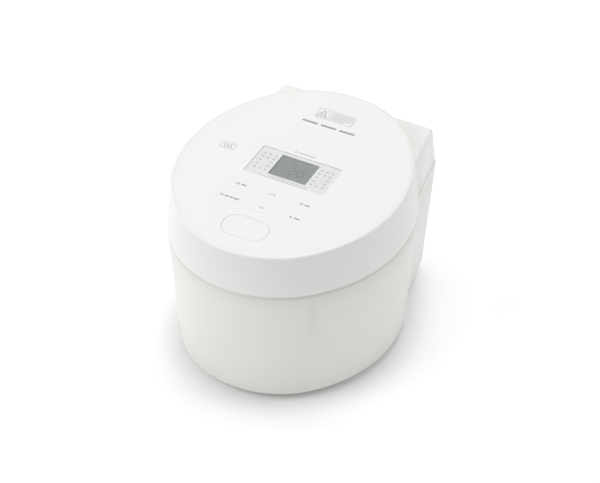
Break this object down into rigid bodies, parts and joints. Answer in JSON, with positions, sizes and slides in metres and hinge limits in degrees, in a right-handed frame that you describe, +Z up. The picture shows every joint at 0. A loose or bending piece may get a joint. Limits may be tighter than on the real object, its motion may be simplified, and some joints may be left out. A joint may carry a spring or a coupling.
{
  "type": "rice cooker",
  "caption": "Oval countertop induction rice cooker with a sloping hinged lid, display, keys, latch button, lift-out pot and electronics.",
  "frame": {"origin": "on the floor under the middle of the object's outline", "axes": "+Z up, -Y to the front with the lid button, +X to the right seen from the front"},
  "size_m": [0.26, 0.303, 0.2113],
  "materials": {
    "white_shell": "satin white moulding",
    "white_lid": "satin white moulding",
    "white_panel": "fine matte white sheet",
    "white_key": "fine matte white",
    "deck_white": "satin white",
    "cover_white": "satin white",
    "base_grey": "grained light grey",
    "foot_rubber": "matt rubber",
    "screw_steel": "zinc plated",
    "pot_black": "non-stick coating over aluminium",
    "well_grey": "heat-resistant resin",
    "heater_foil": "foil band",
    "coil_carrier": "heat-resistant resin",
    "copper": "enamelled copper litz wire",
    "ferrite": "dark ferrite",
    "sensor_metal": "drawn cap",
    "spring_steel": "spring wire",
    "power_board": "green solder mask",
    "heat_sink_alu": "extruded",
    "capacitor_case": "yellow box capacitor",
    "choke_core": "coated core",
    "fan_black": "black resin",
    "inlet_white": "white resin",
    "contact_brass": "plated contacts",
    "pressed_steel": "pressed and plated",
    "pin_steel": "ground",
    "window_grey": "printed light grey",
    "lcd_grey": "reflective LCD",
    "frame_white": "white resin",
    "logic_board": "green solder mask",
    "switch_black": "black resin",
    "inner_lid_alu": "satin aluminium",
    "seal_grey": "silicone",
    "print_grey": "printed grey marks"
  },
  "bodies": {
    "body": {"body_shell": "white_shell", "top_deck": "deck_white", "base_plate": "base_grey", "foot_1": "foot_rubber", "foot_2": "foot_rubber", "foot_3": "foot_rubber", "foot_4": "foot_rubber", "base_screws": "screw_steel", "pot_well": "well_grey", "side_heater": "heater_foil", "inner_pot": "pot_black", "coil_base": "coil_carrier", "ih_coil": "copper", "ferrite_bar_1": "ferrite", "ferrite_bar_2": "ferrite", "ferrite_bar_3": "ferrite", "ferrite_bar_4": "ferrite", "sensor_spring": "spring_steel", "main_board": "power_board", "heat_sink": "heat_sink_alu", "capacitor": "capacitor_case", "filter_choke": "choke_core", "fan_frame": "fan_black", "power_inlet": "inlet_white", "inlet_pins": "contact_brass", "latch_catch": "pressed_steel", "hinge_bracket_left": "pressed_steel", "hinge_bracket_right": "pressed_steel", "hinge_screws": "screw_steel", "hinge_pin": "pin_steel"},
    "lid": {"lid_shell": "white_lid", "lid_top_panel": "white_panel", "display_window": "window_grey", "lcd_module": "lcd_grey", "lcd_frame": "frame_white", "control_board": "logic_board", "tact_switches": "switch_black", "button_holder": "frame_white", "button_spring": "spring_steel", "latch_pin": "pin_steel", "latch_spring": "spring_steel", "lid_inner_cover": "cover_white", "inner_lid": "inner_lid_alu", "lid_gasket": "seal_grey", "steam_duct": "frame_white", "steam_packing": "seal_grey", "lid_sensor": "sensor_metal", "lid_screws": "screw_steel", "hinge_spring_left": "spring_steel", "hinge_spring_right": "spring_steel"},
    "key_menu": {"key_menu": "white_key"},
    "key_keep_warm": {"key_keep_warm": "white_key"},
    "key_up": {"key_up": "white_key"},
    "key_down": {"key_down": "white_key"},
    "key_timer": {"key_timer": "white_key"},
    "key_start": {"key_start": "white_key"},
    "open_button": {"open_button": "white_key"},
    "latch_hook": {"latch_hook": "pressed_steel"},
    "bottom_sensor": {"bottom_sensor": "sensor_metal"},
    "fan_rotor": {"fan_rotor": "fan_black"}
  },
  "joints": [
    {"name": "lid_hinge", "type": "hinge", "parent": "body", "child": "lid", "pos_m": [0, 0.1465, 0.156], "axis": [-1, 0, 0], "range_deg": [0, 88]},
    {"name": "open_button_press", "type": "slide", "parent": "lid", "child": "open_button", "axis": [0, 0.048, -0.9988], "range_m": [0, 0.003], "stiffness_N_per_m": 400, "springref_m": -0.003, "deforming": ["button_spring"]},
    {"name": "latch_pivot", "type": "hinge", "parent": "lid", "child": "latch_hook", "pos_m": [0, -0.121, 0.174], "axis": [-1, 0, 0], "range_deg": [0, 15]},
    {"name": "key_menu_press", "type": "slide", "parent": "lid", "child": "key_menu", "axis": [0, 0.048, -0.9988], "range_m": [0, 0.0005], "stiffness_N_per_m": 1000, "springref_m": -0.001},
    {"name": "key_keep_warm_press", "type": "slide", "parent": "lid", "child": "key_keep_warm", "axis": [0, 0.048, -0.9988], "range_m": [0, 0.0005], "stiffness_N_per_m": 1000, "springref_m": -0.001},
    {"name": "key_up_press", "type": "slide", "parent": "lid", "child": "key_up", "axis": [0, 0.048, -0.9988], "range_m": [0, 0.0005], "stiffness_N_per_m": 1000, "springref_m": -0.001},
    {"name": "key_down_press", "type": "slide", "parent": "lid", "child": "key_down", "axis": [0, 0.048, -0.9988], "range_m": [0, 0.0005], "stiffness_N_per_m": 1000, "springref_m": -0.001},
    {"name": "key_timer_press", "type": "slide", "parent": "lid", "child": "key_timer", "axis": [0, 0.048, -0.9988], "range_m": [0, 0.0005], "stiffness_N_per_m": 1000, "springref_m": -0.001},
    {"name": "key_start_press", "type": "slide", "parent": "lid", "child": "key_start", "axis": [0, 0.048, -0.9988], "range_m": [0, 0.0005], "stiffness_N_per_m": 1000, "springref_m": -0.001},
    {"name": "bottom_sensor_press", "type": "slide", "parent": "body", "child": "bottom_sensor", "axis": [0, 0, -1], "range_m": [0, 0.002], "stiffness_N_per_m": 300, "springref_m": -0.003, "deforming": ["sensor_spring"]},
    {"name": "fan_spin", "type": "hinge", "parent": "body", "child": "fan_rotor", "pos_m": [0, 0.068, 0.012], "axis": [0, 0, 1], "continuous": true}
  ],
  "couplings": [
    {"joint": "latch_pivot", "follows": "open_button_press", "rad_per_m": 87.27}
  ]
}
